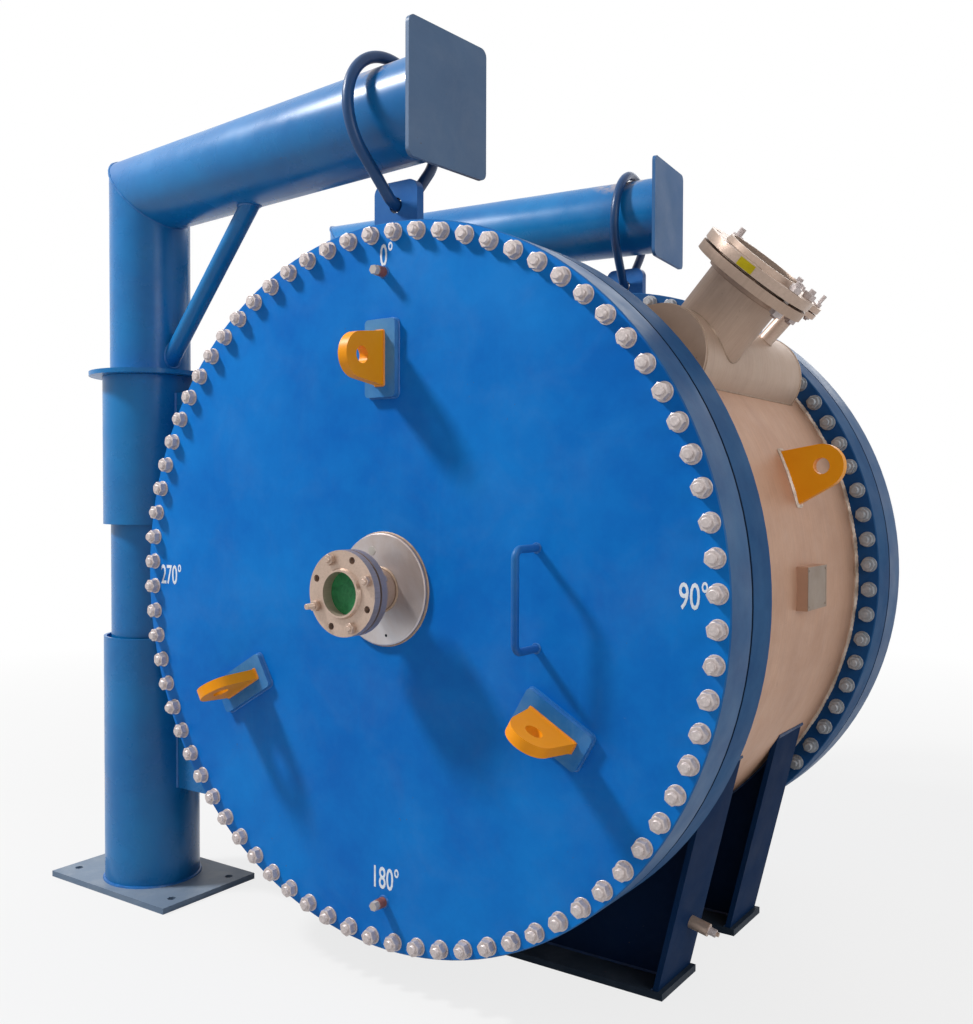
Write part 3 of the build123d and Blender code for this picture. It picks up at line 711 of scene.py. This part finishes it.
NODE_MATERIALS = {
    "shell": "shell_steel",
    "spiral_plates": "plate_steel",
    "core_divider": "plate_steel",
    "joint_gaskets": "gasket",
    "front_body_flange": "shaded_rim_blue",
    "rear_body_flange": "shaded_rim_blue",
    "right_header": "header_steel",
    "left_header": "header_steel",
    "header_nozzles": "header_steel",
    "header_companion_flanges": "turned_steel",
    "header_blanks": "gasket",
    "vent_nozzles": "turned_steel",
    "vent_blind_flanges": "turned_steel",
    "shell_lugs": "lug_orange",
    "nameplate_bracket": "shell_steel",
    "saddle_bases": "shaded_foot_grey",
    "saddle_webs": "shaded_web_navy",
    "saddle_side_plates": "shaded_saddle_navy",
    "earthing_boss": "turned_steel",
    "davit_base_plates": "primer",
    "davit_sleeves": "davit_blue",
    "sleeve_brackets": "davit_blue",
}
END_MATERIALS = {
    "davit_post": "davit_blue",
    "davit_collar": "davit_blue",
    "davit_brace": "davit_blue",
    "arm_end_plate": "dusty_shaded_end_plate_blue",
    "cover": "cover_blue",
    "cover_eye": "trim_blue",
    "hanger_loop": "loop_navy",
    "nozzle": "nozzle_steel",
    "companion_flange": "turned_steel",
    "blank": "green_sheet",
    "lug_pads": "scuffed_highlit_pad_blue",
    "cover_lugs": "lug_orange",
    "cover_handle": "trim_blue",
    "cover_stubs": "stub_rust",
}


def dress_nodes():
    """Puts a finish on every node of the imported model."""
    finishes = dict(NODE_MATERIALS)
    for end in ("front", "rear"):
        finishes.update({end + "_" + name: finish for name, finish in END_MATERIALS.items()})
    # The rear arm's end plate gets a separate shaded copy of the end plate paint: painted shade.
    finishes["rear_arm_end_plate"] = "shaded_rear_plate_blue"
    for name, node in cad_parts.items():
        material = MATERIALS[finishes[name]]
        if node.material_slots:
            for slot in node.material_slots:
                slot.material = material
        else:
            node.data.materials.append(material)


# Pieces


def new_object(name, data):
    item = bpy.data.objects.new(name, data)
    bpy.context.scene.collection.objects.link(item)
    return item


def add_piece(name, bm, finishes, body):
    bmesh.ops.recalc_face_normals(bm, faces=bm.faces[:])
    mesh = bpy.data.meshes.new(name)
    bm.to_mesh(mesh)
    mesh.polygons.foreach_set("use_smooth", [True] * len(mesh.polygons))
    mesh.set_sharp_from_angle(angle=SHARP_ANGLE)
    for finish in finishes:
        mesh.materials.append(MATERIALS[finish])
    piece = new_object(name, mesh)
    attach(piece, body)


def reflect(bm):
    """Mirrors a front piece to the rear end."""
    for vert in bm.verts:
        vert.co.y = 2 * MID_Y - vert.co.y
    bmesh.ops.reverse_faces(bm, faces=bm.faces[:])


def add_at_both_ends(name, build, finishes, body):
    """Builds a piece at the front and its mirror image at the rear."""
    for end in ("front", "rear"):
        bm = bmesh.new()
        build(bm)
        if end == "rear":
            reflect(bm)
        add_piece(end + "_" + name, bm, finishes, body.format(end=end))
        bm.free()


def add_once(name, build, finishes):
    bm = bmesh.new()
    build(bm)
    add_piece(name, bm, finishes, "vessel")
    bm.free()


def half_turned(build):
    """A builder for a piece and its copy turned half round the vertical centre line."""

    def both(bm):
        build(bm)
        first = bm.verts[:] + bm.edges[:] + bm.faces[:]
        copy = bmesh.ops.duplicate(bm, geom=first)["geom"]
        to_middle = Matrix.Translation((0, MID_Y, 0))
        spin = to_middle @ Matrix.Rotation(math.pi, 4, "Z") @ to_middle.inverted()
        verts = [item for item in copy if isinstance(item, bmesh.types.BMVert)]
        bmesh.ops.transform(bm, matrix=spin, verts=verts)

    return both


def nut_and_washer(bm, place, flats, height, stud, reach, washer_radius=None):
    """Washer, nut and stud end standing on a face."""
    spun = place @ Matrix.Rotation(random.uniform(0, math.radians(60)), 4, "Z")
    base = 0.0
    if washer_radius:
        washer(bm, spun, stud, washer_radius, 0.0, WASHER_THICKNESS)
        base = WASHER_THICKNESS
    hexagon(bm, spun @ Matrix.Translation((0, 0, base)), flats, height)
    threaded_end(bm, spun, stud, base + height - 0.002, base + height + reach)


def cover_stud_heads(bm):
    for angle in STUD_ANGLES:
        reach = STUD_REACH + random.uniform(-0.003, 0.004)
        place = cover_station(angle, STUD_CIRCLE)
        nut_and_washer(bm, place, NUT_FLATS, NUT_HEIGHT, STUD_RADIUS, reach, WASHER_RADIUS)


def flange_stud_heads(bm):
    """Rear nuts of the cover studs, and the shanks that show in the joint's gap."""
    depth = FLANGE_BACK_Y - FLANGE_FACE_Y
    gap = FLANGE_FACE_Y - COVER_BACK_Y
    for angle in STUD_ANGLES:
        reach = STUD_REACH + random.uniform(-0.004, 0.006)
        place = flange_station(angle, STUD_CIRCLE)
        nut_and_washer(bm, place, NUT_FLATS, NUT_HEIGHT, STUD_RADIUS, reach, WASHER_RADIUS)
        lathe(bm, [(STUD_RADIUS, -depth - gap * 0.9), (STUD_RADIUS, -depth)], place)


def stud_hole_shades(bm):
    """Dark discs of painted shade at the mouths of the stud holes on the inner face of the cover."""
    for angle in STUD_ANGLES:
        place = face_station(COVER_BACK_Y, -90, angle, STUD_CIRCLE)
        lathe(bm, [(0.0165, 0.0), (0.0155, 0.0003)], place, segments=18)


def flange_bolts(bm, station, rims, sizes, ends):
    """Studs with a nut at each rim of a flanged joint."""
    low, high = rims
    flats, height, stud = sizes["flats"], sizes["nut"], sizes["stud"]
    for angle, reach in ends.items():
        spin = Matrix.Rotation(math.radians(angle), 4, "Z")
        place = station @ spin @ Matrix.Translation((sizes["circle"], 0, 0))
        nut_and_washer(bm, place @ Matrix.Translation((0, 0, high)), flats, height, stud, reach)
        back = place @ Matrix.Translation((0, 0, low)) @ Matrix.Rotation(math.pi, 4, "X")
        nut_and_washer(bm, back, flats, height, stud, INNER_END)
        lathe(bm, [(stud, low), (stud, high)], place)


def cover_flange_bolts(bm):
    flange_bolts(bm, cover_station(0, 0), COVER_RIMS, COVER_BOLTS, COVER_ENDS)


def header_flange_bolts(bm):
    flange_bolts(bm, nozzle_station(), HEADER_RIMS, HEADER_BOLTS, HEADER_ENDS)


def vent_flange_bolts(bm):
    flange_bolts(bm, header_station(VENT_Y), VENT_RIMS, VENT_BOLTS, VENT_ENDS)


# Welds


def header_welds(bm):
    """Beads round a header's ends, along its seam with the shell and round its nozzles."""
    along_y = Vector((0, 1, 0))
    centre = header_station(0) @ Vector((0, 0, HEADER_REACH))
    seam_rise = (SHELL_RADIUS**2 - HEADER_RADIUS**2 + HEADER_REACH**2) / (2 * HEADER_REACH)
    half_angle = math.acos(seam_rise / SHELL_RADIUS)
    end_turn = math.atan2(math.sqrt(SHELL_RADIUS**2 - seam_rise**2), seam_rise - HEADER_REACH)
    steps = 24
    inset = 0.011
    for y in (HEADER_FRONT + inset, HEADER_REAR - inset):
        arc = []
        for k in range(steps + 1):
            turn = end_turn * (2 * k / steps - 1)
            local = Vector((HEADER_RADIUS * math.sin(turn), 0, HEADER_REACH + HEADER_RADIUS * math.cos(turn)))
            arc.append(header_station(y) @ local)
        weld(bm, arc, 0.0025)
    seam = []
    for k in range(steps + 1):
        seam.append(on_axis(HEADER_FRONT, SHELL_RADIUS, HEADER_ANGLE + half_angle * (2 * k / steps - 1)))
    for k in range(steps + 1):
        seam.append(on_axis(HEADER_REAR, SHELL_RADIUS, HEADER_ANGLE - half_angle * (2 * k / steps - 1)))
    weld(bm, seam, 0.003, closed=True)
    pipes = (
        (nozzle_station(), NOZZLE_RADIUS, HEADER_JOINT - HEADER_HUB, 0.003),
        (header_station(VENT_Y), VENT_RADIUS, VENT_JOINT - VENT_HUB, 0.0025),
    )
    outside = Vector((0, 0, 1.5))
    for station, radius, neck, bead in pipes:
        outward = (station.to_3x3() @ Vector((0, 0, 1))).normalized()
        joint = pipe_joint(station @ outside, -outward, radius, centre, along_y, HEADER_RADIUS)
        weld(bm, joint, bead, closed=True)
        weld(bm, ring_path(station, radius + 0.001, neck), bead * 0.8, closed=True)


def shell_seams(bm):
    """Beads where the shell meets the two body flanges."""
    for y in (FLANGE_BACK_Y, 2 * MID_Y - FLANGE_BACK_Y):
        seam = ring_path(face_station(y, 90, 0, 0), SHELL_RADIUS + 0.002, count=180)
        weld(bm, seam, 0.0095, closed=True, uneven=0.09)


def shell_lug_welds(bm):
    for side in (1, -1):
        angle = side * SHELL_LUG_ANGLE
        corners = []
        for y in (SHELL_LUG_Y - SHELL_LUG_HALF, SHELL_LUG_Y + SHELL_LUG_HALF):
            for k in range(9):
                share = (2 * k / 8 - 1) * (1 if y < SHELL_LUG_Y else -1)
                corners.append(on_axis(y, SHELL_RADIUS + 0.001, angle + SHELL_LUG_SPREAD * share))
        weld(bm, corners, 0.0068, closed=True, uneven=0.08)


def saddle_welds(bm):
    """Beads at the feet, corners and shell edges of both saddles."""
    inner = SIDE_FOOT_X - SADDLE_PLATE
    top_x, top_z = side_plate_top()
    for centre in (0.0, 2 * MID_Y):
        for y in (centre - SADDLE_PLATE / 2, centre + SADDLE_PLATE / 2):
            weld(bm, line_path((-inner, y, FOOT_TOP), (inner, y, FOOT_TOP)), 0.005)
            arc = []
            for k in range(61):
                turn = math.pi + SADDLE_WRAP * (2 * k / 60 - 1)
                arc.append(on_axis(y, SHELL_RADIUS, turn))
            weld(bm, arc, 0.005)
        for side in (1, -1):
            foot = side * (inner - 0.001)
            front, rear = centre - SIDE_HALF_WIDTH, centre + SIDE_HALF_WIDTH
            weld(bm, line_path((foot, front, FOOT_TOP), (foot, rear, FOOT_TOP)), 0.005)
            weld(bm, line_path((side * top_x, front, top_z), (side * top_x, rear, top_z)), 0.006)


def side_plate_top():
    """Where the outer face of a side plate meets the shell."""
    z = FOOT_TOP
    while math.hypot(side_x(z), z - AXIS_Z) > SHELL_RADIUS:
        z += 0.0005
    return side_x(z), z


def side_x(z):
    return SIDE_FOOT_X + SIDE_LEAN * (z - FOOT_TOP)


def sleeve_welds(bm):
    """Beads on the sleeves and their brackets at one end of the vessel."""
    place = davit_place()
    weld(bm, ring_path(place, SLEEVE_RADIUS, FOOT_TOP), 0.007, closed=True)
    for low, high in TIE_SPANS:
        for side in (-TIE_HALF_THICKNESS, TIE_HALF_THICKNESS):
            y = TIE_Y + side
            reach = math.sqrt(SLEEVE_RADIUS**2 - (y - POST_Y) ** 2)
            weld(bm, line_path((POST_X + reach, y, low), (POST_X + reach, y, high)), 0.006)
            rim = []
            for k in range(31):
                z = low + (high - low) * k / 30
                rim.append(Vector((-math.sqrt(RIM_RADIUS**2 - (z - AXIS_Z) ** 2), y, z)))
            weld(bm, rim, 0.006)


def davit_welds(bm):
    """Beads at the elbow, collar, brace and end plate of a davit."""
    place = davit_place()
    elbow = []
    for k in range(96):
        turn = 2 * math.pi * k / 96
        x = PIPE_RADIUS * math.cos(turn)
        elbow.append(place @ Vector((x, PIPE_RADIUS * math.sin(turn), ARM_Z - x)))
    weld(bm, elbow, 0.0035, closed=True, uneven=0.08)
    weld(bm, ring_path(place, PIPE_RADIUS + 0.001, COLLAR_TOP), 0.005, closed=True)
    end = place @ Matrix.Translation((ARM_LENGTH, 0, ARM_Z)) @ Matrix.Rotation(math.radians(-90), 4, "Y")
    weld(bm, ring_path(end, PIPE_RADIUS + 0.001), 0.006, closed=True)
    direction = (BRACE_HEAD - BRACE_FOOT).normalized()
    middle = (BRACE_HEAD + BRACE_FOOT) / 2
    foot = pipe_joint(middle, -direction, BRACE_RADIUS, Vector((0, 0, 0)), Vector((0, 0, 1)), PIPE_RADIUS)
    head = pipe_joint(middle, direction, BRACE_RADIUS, Vector((0, 0, ARM_Z)), Vector((1, 0, 0)), PIPE_RADIUS)
    for joint in (foot, head):
        weld(bm, [place @ p for p in joint], 0.0045, closed=True)


def pad_outline():
    """Outline of a lug pad with its rounded corners, just above the cover."""
    outline = []
    for quarter, (right, up) in enumerate(((1, 1), (-1, 1), (-1, -1), (1, -1))):
        centre = Vector((right * (PAD_HALF[0] - PAD_CORNER), up * (PAD_HALF[1] - PAD_CORNER), 0.001))
        for k in range(5):
            turn = math.radians(90 * quarter + 22.5 * k)
            outline.append(centre + Vector((math.cos(turn), math.sin(turn), 0)) * PAD_CORNER)
    return outline


def cover_welds(bm):
    """Beads round the lug pads, stubs and handle feet of a cover, and beside its eye."""
    for angle in LUG_ANGLES:
        station = cover_station(angle, LUG_CIRCLE)
        weld(bm, [station @ p for p in pad_outline()], 0.004, closed=True)
    for angle in (0, 180):
        place = cover_station(angle, STUB_CIRCLE)
        weld(bm, ring_path(place, STUB_BEAD_RADIUS, 0.0, 36), 0.0035, closed=True)
    for z in HANDLE_FEET_Z:
        place = Matrix.Translation((HANDLE_X, FRONT_FACE_Y, z)) @ Matrix.Rotation(math.radians(90), 4, "X")
        weld(bm, ring_path(place, HANDLE_BEAD_RADIUS, 0.0, 30), 0.0035, closed=True)
    half_width, half_thickness = EYE_FOOT_HALF
    rim_z = AXIS_Z + math.sqrt(RIM_RADIUS**2 - half_width**2)
    middle = (FRONT_FACE_Y + COVER_BACK_Y) / 2
    for y in (middle - half_thickness, middle + half_thickness):
        weld(bm, line_path((-half_width, y, rim_z), (half_width, y, rim_z)), 0.005)


def lug_welds(bm):
    for angle in LUG_ANGLES:
        station = cover_station(angle, LUG_CIRCLE)
        weld(bm, [station @ p for p in rectangle(*LUG_FOOT_HALF, PAD_THICKNESS)], 0.004, closed=True)


def nozzle_welds(bm):
    """Beads round a cover's pad and at both ends of its nozzle pipe."""
    station = cover_station(0, 0)
    weld(bm, ring_path(station, NOZZLE_PAD_RADIUS, 0.0, 96), 0.004, closed=True)
    foot, neck = NOZZLE_BEADS
    weld(bm, ring_path(station, foot, NOZZLE_PAD_TOP, 60), 0.005, closed=True)
    weld(bm, ring_path(station, neck, COVER_JOINT - COVER_HUB, 60), 0.0035, closed=True)


# Small details


def pad_plugs(bm):
    """Tell-tale hole, drawn as a dark disc of painted shade, and its twin plug in a nozzle pad."""
    station = cover_station(0, 0)
    hole = station @ Matrix.Translation((0.02, -0.125, NOZZLE_PAD_TOP))
    # The tell-tale hole is a dark disc: painted shade.
    lathe(bm, [(0.0042, 0.0), (0.0038, 0.0003)], hole, material=1)
    plug = station @ Matrix.Translation((-0.03, 0.105, NOZZLE_PAD_TOP))
    lathe(bm, [(0.013, 0.0), (0.0125, 0.0009), (0.010, 0.0012)], plug, segments=24)


def rim_label(bm):
    """Blank label stuck on the rim of the header's outer flange."""
    station = nozzle_station()
    radius = HEADER_FLANGE_RADIUS + 0.0005
    low, high = HEADER_JOINT + 0.006, HEADER_JOINT + 0.029
    steps = 8
    start, end = math.radians(-87.3), math.radians(-71.0)
    lower, upper = [], []
    for k in range(steps + 1):
        turn = start + (end - start) * k / steps
        x, y = radius * math.cos(turn), radius * math.sin(turn)
        lower.append(bm.verts.new(station @ Vector((x, y, low))))
        upper.append(bm.verts.new(station @ Vector((x, y, high))))
    bridge(bm, lower, upper, closed=False)


def nameplate(bm):
    """Blank plate with a raised edge, held by four rivets on its bracket."""
    low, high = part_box("nameplate_bracket")
    place = Matrix.Translation((high[0], (low[1] + high[1]) / 2, (low[2] + high[2]) / 2))
    place = place @ Matrix.Rotation(math.radians(90), 4, "Y")
    half_x, half_y = NAMEPLATE_HALF
    outline = []
    for inset, z in ((0.0, 0.0), (0.0, 0.0012), (0.005, 0.0012), (0.006, 0.0005)):
        outline.append(add_ring(bm, rectangle(half_x - inset, half_y - inset, z), place))
    for lower, upper in zip(outline, outline[1:]):
        bridge(bm, lower, upper)
    cap(bm, outline[-1])
    for corner in rectangle(half_x - RIVET_INSET, half_y - RIVET_INSET, 0.0005):
        rivet = place @ Matrix.Translation(corner)
        lathe(bm, [(0.0035, 0.0), (0.0033, 0.001), (0.0018, 0.0018)], rivet)


def earthing_bolt(bm):
    """Washer and two nuts on the end of the earthing boss."""
    place = Matrix.Translation((side_x(BOSS_Z), BOSS_Y, BOSS_Z))
    place = place @ Matrix.Rotation(math.radians(90) + math.atan(SIDE_LEAN), 4, "Y")
    place = place @ Matrix.Translation((0, 0, BOSS_LENGTH))
    thickness = 0.0025
    flats, height = 0.019, 0.010
    washer(bm, place, 0.0062, 0.012, 0.0, thickness)
    for base in (thickness, thickness + height):
        hexagon(bm, place @ Matrix.Translation((0, 0, base)), flats, height)


def degree_marks(end):
    """Painted degree figures round a cover."""
    marks = (("0°", 0.010, 2.021), ("90°", 0.910, 1.141), ("180°", 0.006, 0.309), ("270°", -0.890, 1.109))
    for text, x, z in marks:
        figure = text.strip("°")
        curve = bpy.data.curves.new("figure", "FONT")
        curve.body = text
        curve.size = FIGURE_HEIGHT
        curve.extrude = 0.0002
        curve.offset = 0.0008
        curve.align_x = "CENTER"
        curve.align_y = "CENTER"
        curve.resolution_u = 3
        holder = bpy.data.objects.new("figure_" + figure, curve)
        mesh = bpy.data.meshes.new_from_object(holder)
        bpy.data.objects.remove(holder)
        y = FRONT_FACE_Y - 0.0003
        spin = Matrix.Rotation(math.radians(90), 4, "X")
        if end == "rear":
            y = 2 * MID_Y - y
            spin = Matrix.Rotation(math.pi, 4, "Z") @ spin
        narrow = Matrix.Diagonal((FIGURE_NARROWING, 1.0, 1.0, 1.0))
        mesh.transform(Matrix.Translation((x, y, z)) @ spin @ narrow)
        mesh.materials.clear()
        mesh.materials.append(MATERIALS["mark_white"])
        piece = new_object(end + "_mark_" + figure, mesh)
        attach(piece, end + "_cover_assembly")


# Stage


def add_floor():
    """Pale floor that fades to the white background."""
    surface = Surface("floor_pale")
    tree = surface.tree
    surface.finish((0.48, 0.48, 0.48, 1.0), 0.6, specular=0.1)
    reach = tree.nodes.new("ShaderNodeVectorMath")
    reach.operation = "LENGTH"
    tree.links.new(surface.point, reach.inputs[0])
    fade = surface.levels(reach.outputs["Value"], 2.6, 7.0, 0.80, 1.0)
    glow = tree.nodes.new("ShaderNodeEmission")
    glow.inputs["Color"].default_value = (1, 1, 1, 1)
    glow.inputs["Strength"].default_value = 1.0
    mixer = tree.nodes.new("ShaderNodeMixShader")
    tree.links.new(surface.calc("MULTIPLY", fade, surface.seen()), mixer.inputs[0])
    tree.links.new(surface.shader.outputs[0], mixer.inputs[1])
    tree.links.new(glow.outputs[0], mixer.inputs[2])
    tree.links.new(mixer.outputs[0], tree.nodes["Material Output"].inputs["Surface"])
    bm = bmesh.new()
    rings = [add_ring(bm, circle_points(r, 64), Matrix.Identity(4)) for r in (0.5, 4.0, 14.0, 60.0)]
    cap(bm, rings[0])
    for inner, outer in zip(rings, rings[1:]):
        bridge(bm, inner, outer)
    mesh = bpy.data.meshes.new("floor")
    bm.to_mesh(mesh)
    bm.free()
    mesh.materials.append(surface.material)
    floor = new_object("floor", mesh)
    floor.location.z = -0.0005


def add_world():
    """White studio seen by camera and reflections, with a softer fill on the object."""
    world = bpy.data.worlds.new("studio")
    world.use_nodes = True
    bpy.context.scene.world = world
    nodes = Nodes(world.node_tree)
    sky = nodes.tree.nodes.new("ShaderNodeTexCoord")
    height = nodes.component(sky.outputs["Generated"], "Z")
    fill = nodes.levels(height, -0.1, 1.0, LOW_FILL, HIGH_FILL)
    background = nodes.tree.nodes["Background"]
    nodes.feed(background.inputs["Color"], (1, 1, 1, 1))
    nodes.feed(background.inputs["Strength"], nodes.levels(nodes.seen(), 0.0, 1.0, fill, 1.0))


def add_lamp(name, place, target, size, power):
    light = bpy.data.lights.new(name, "AREA")
    light.shape = "DISK"
    light.size = size
    light.energy = power
    lamp = new_object(name, light)
    lamp.location = place
    lamp.rotation_euler = (Vector(target) - Vector(place)).to_track_quat("-Z", "Y").to_euler()


def add_camera():
    """Camera at the photograph's angle, from the fitted view."""
    image_width, image_height, focal = 973.0, 1024.0, 1059.74
    centre_x, centre_y = 482.38, 518.97
    data = bpy.data.cameras.new("camera")
    data.sensor_fit = "HORIZONTAL"
    data.sensor_width = 36.0
    data.lens = 36.0 * focal / image_width
    data.shift_x = (image_width / 2 - centre_x) / image_width
    data.shift_y = (centre_y - image_height / 2) / image_width
    data.clip_end = 200.0
    camera = new_object("camera", data)
    right = Vector((0.82210, 0.56933, 0.00258))
    up = Vector((-0.01544, 0.01777, 0.99972))
    back = Vector((0.56913, -0.82192, 0.02340))
    turn = Matrix((right, up, back)).transposed().to_4x4()
    camera.matrix_world = Matrix.Translation((1.8764, -2.7276, 1.3742)) @ turn
    bpy.context.scene.camera = camera


dress_nodes()
add_at_both_ends("cover_studs", cover_stud_heads, ["galvanised"], "{end}_cover_assembly")
add_at_both_ends("flange_studs", flange_stud_heads, ["galvanised_dull"], "vessel")
add_at_both_ends("cover_hole_shades", stud_hole_shades, ["hole_shade"], "{end}_cover_assembly")
add_at_both_ends("nozzle_bolts", cover_flange_bolts, ["turned_steel"], "{end}_cover_assembly")
add_at_both_ends("cover_welds", cover_welds, ["painted_weld"], "{end}_cover_assembly")
add_at_both_ends("lug_welds", lug_welds, ["orange_weld"], "{end}_cover_assembly")
add_at_both_ends("nozzle_welds", nozzle_welds, ["stainless_weld"], "{end}_cover_assembly")
add_at_both_ends("pad_plugs", pad_plugs, ["plate_steel", "hole_shade"], "{end}_cover_assembly")
add_at_both_ends("davit_welds", davit_welds, ["highlit_davit_weld"], "{end}_davit")
add_at_both_ends("sleeve_welds", sleeve_welds, ["painted_weld"], "vessel")
add_once("header_bolts", half_turned(header_flange_bolts), ["galvanised"])
add_once("vent_bolts", half_turned(vent_flange_bolts), ["galvanised"])
add_once("header_welds", half_turned(header_welds), ["stainless_weld"])
add_once("shell_seams", shell_seams, ["bright_weld"])
add_once("shell_lug_welds", shell_lug_welds, ["bright_weld"])
add_once("saddle_welds", saddle_welds, ["navy_weld"])
add_once("rim_label", rim_label, ["label_yellow"])
add_once("nameplate", nameplate, ["name_steel"])
add_once("earthing_bolt", earthing_bolt, ["galvanised"])
degree_marks("front")
degree_marks("rear")

add_floor()
add_world()
add_lamp("key", (-4.3, -3.2, 6.6), (0.0, 0.0, 1.1), 1.0, 560)
add_lamp("side", (6.5, -2.0, 3.5), (0.0, 0.2, 1.1), 4.0, 110)
add_lamp("back", (-1.0, 7.0, 4.5), (0.0, 0.3, 1.2), 4.0, 110)
add_camera()
